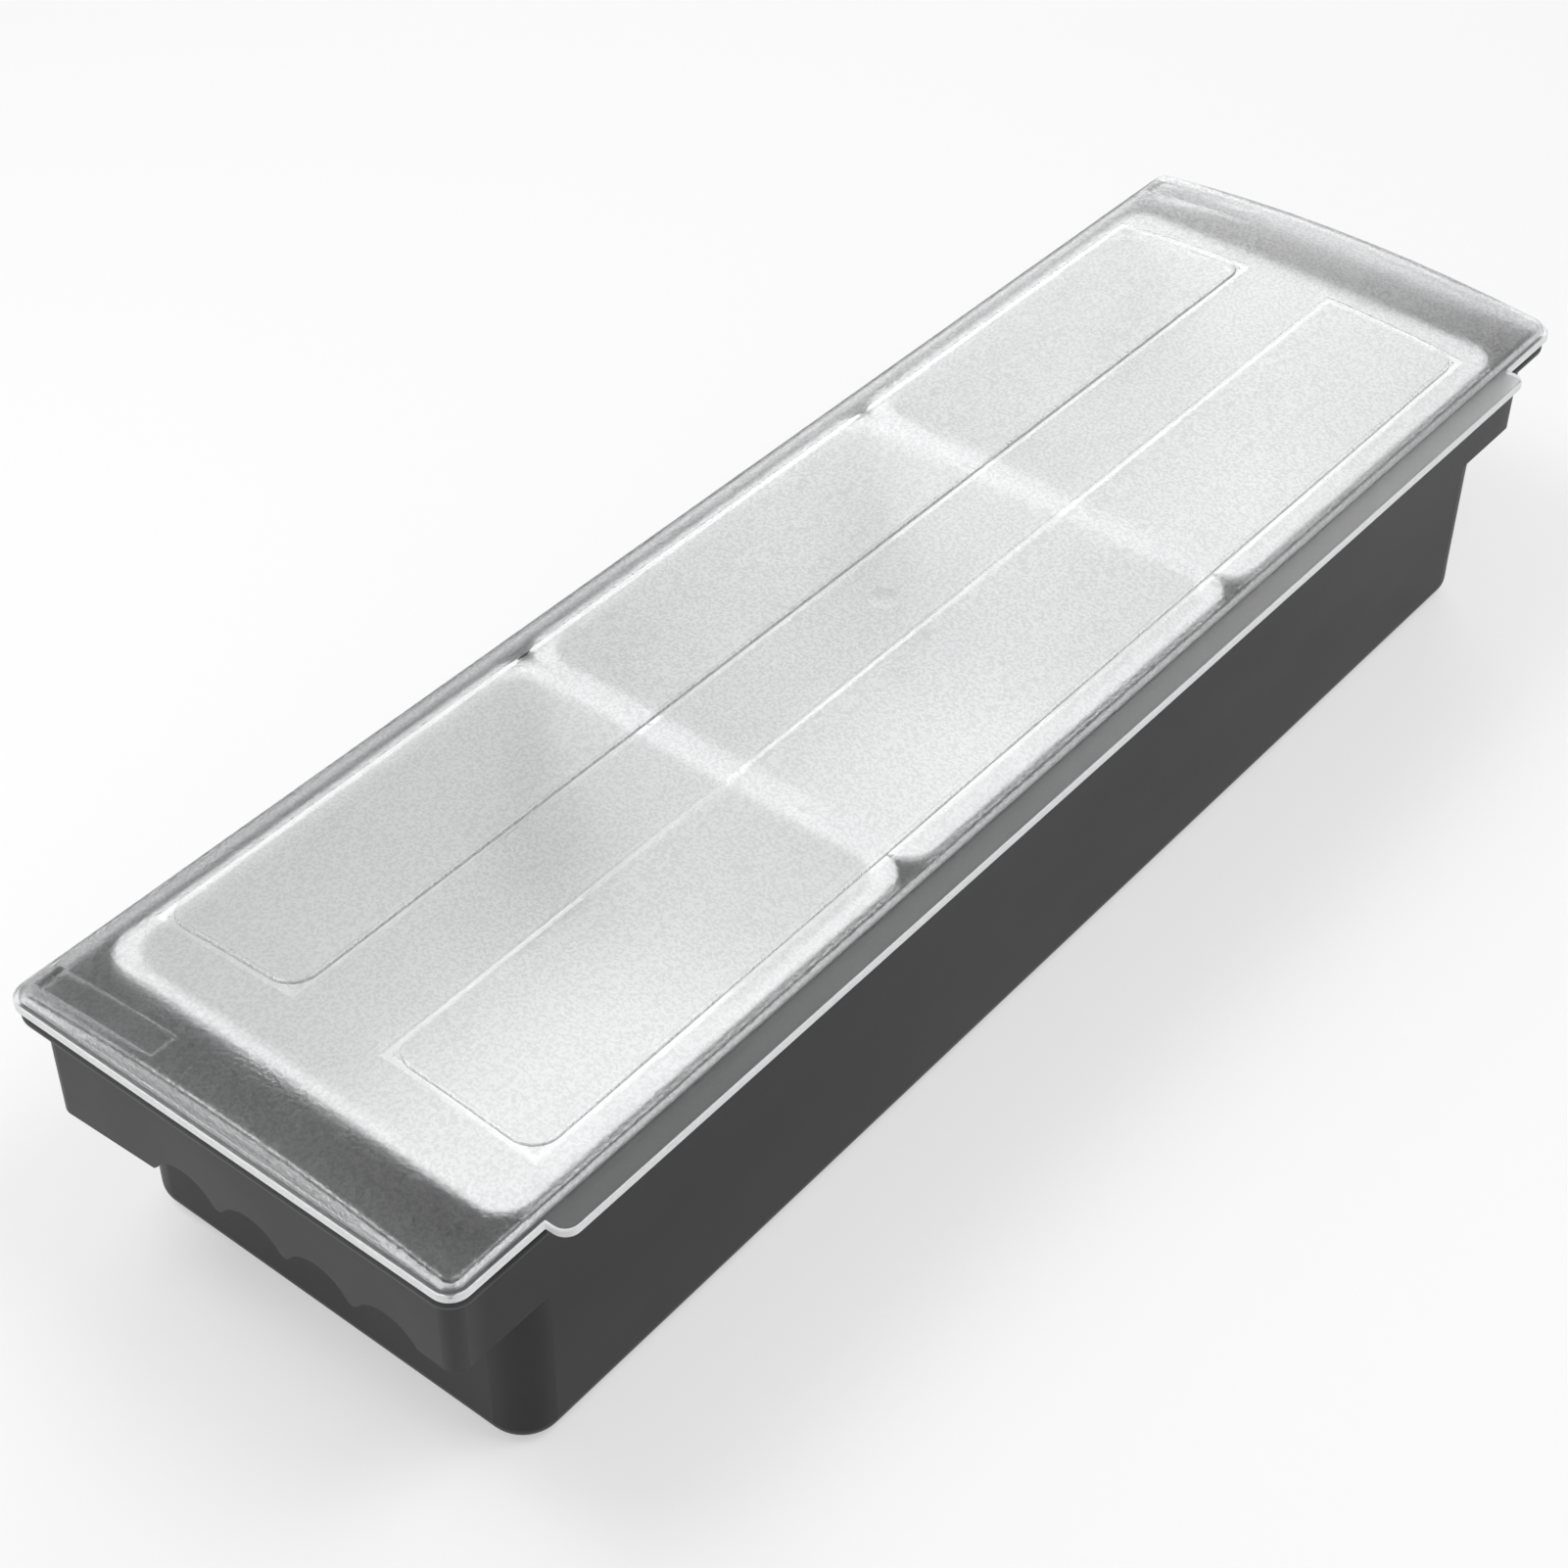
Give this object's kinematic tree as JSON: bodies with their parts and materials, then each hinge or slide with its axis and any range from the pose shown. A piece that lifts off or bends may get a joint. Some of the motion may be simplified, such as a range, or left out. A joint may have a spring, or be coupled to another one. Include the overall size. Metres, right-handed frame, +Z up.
{
  "type": "condiment holder",
  "caption": "Long black tray with scalloped grip ends, lift-out white food inserts and a frosted clear lid on a rear hinge that keeps condiments covered.",
  "frame": {"origin": "middle of the flat underside of the tray, on the table", "axes": "+X along the length, +Y towards the hinge at the rear, +Z up; the finger tab faces -Y"},
  "size_m": [0.497, 0.1541, 0.0946],
  "materials": {
    "tray_plastic": "satin black moulded plastic",
    "lid_plastic": "clear plastic with a frosted grain on the crown and smooth bright edges",
    "insert_plastic": "smooth white moulded plastic"
  },
  "bodies": {
    "tray": {"tray": "tray_plastic"},
    "lid": {"lid": "lid_plastic"},
    "insert_left": {"insert_left": "insert_plastic"},
    "insert_middle": {"insert_middle": "insert_plastic"},
    "insert_right": {"insert_right": "insert_plastic"}
  },
  "joints": [
    {"name": "lid_hinge", "type": "hinge", "parent": "tray", "child": "lid", "pos_m": [0, 0.0709, 0.08195], "axis": [-1, 0, 0], "range_deg": [0, 105]},
    {"name": "insert_left_lift", "type": "slide", "parent": "tray", "child": "insert_left", "axis": [0, 0, 1], "range_m": [0, 0.0018]},
    {"name": "insert_middle_lift", "type": "slide", "parent": "tray", "child": "insert_middle", "axis": [0, 0, 1], "range_m": [0, 0.0018]},
    {"name": "insert_right_lift", "type": "slide", "parent": "tray", "child": "insert_right", "axis": [0, 0, 1], "range_m": [0, 0.0018]}
  ]
}
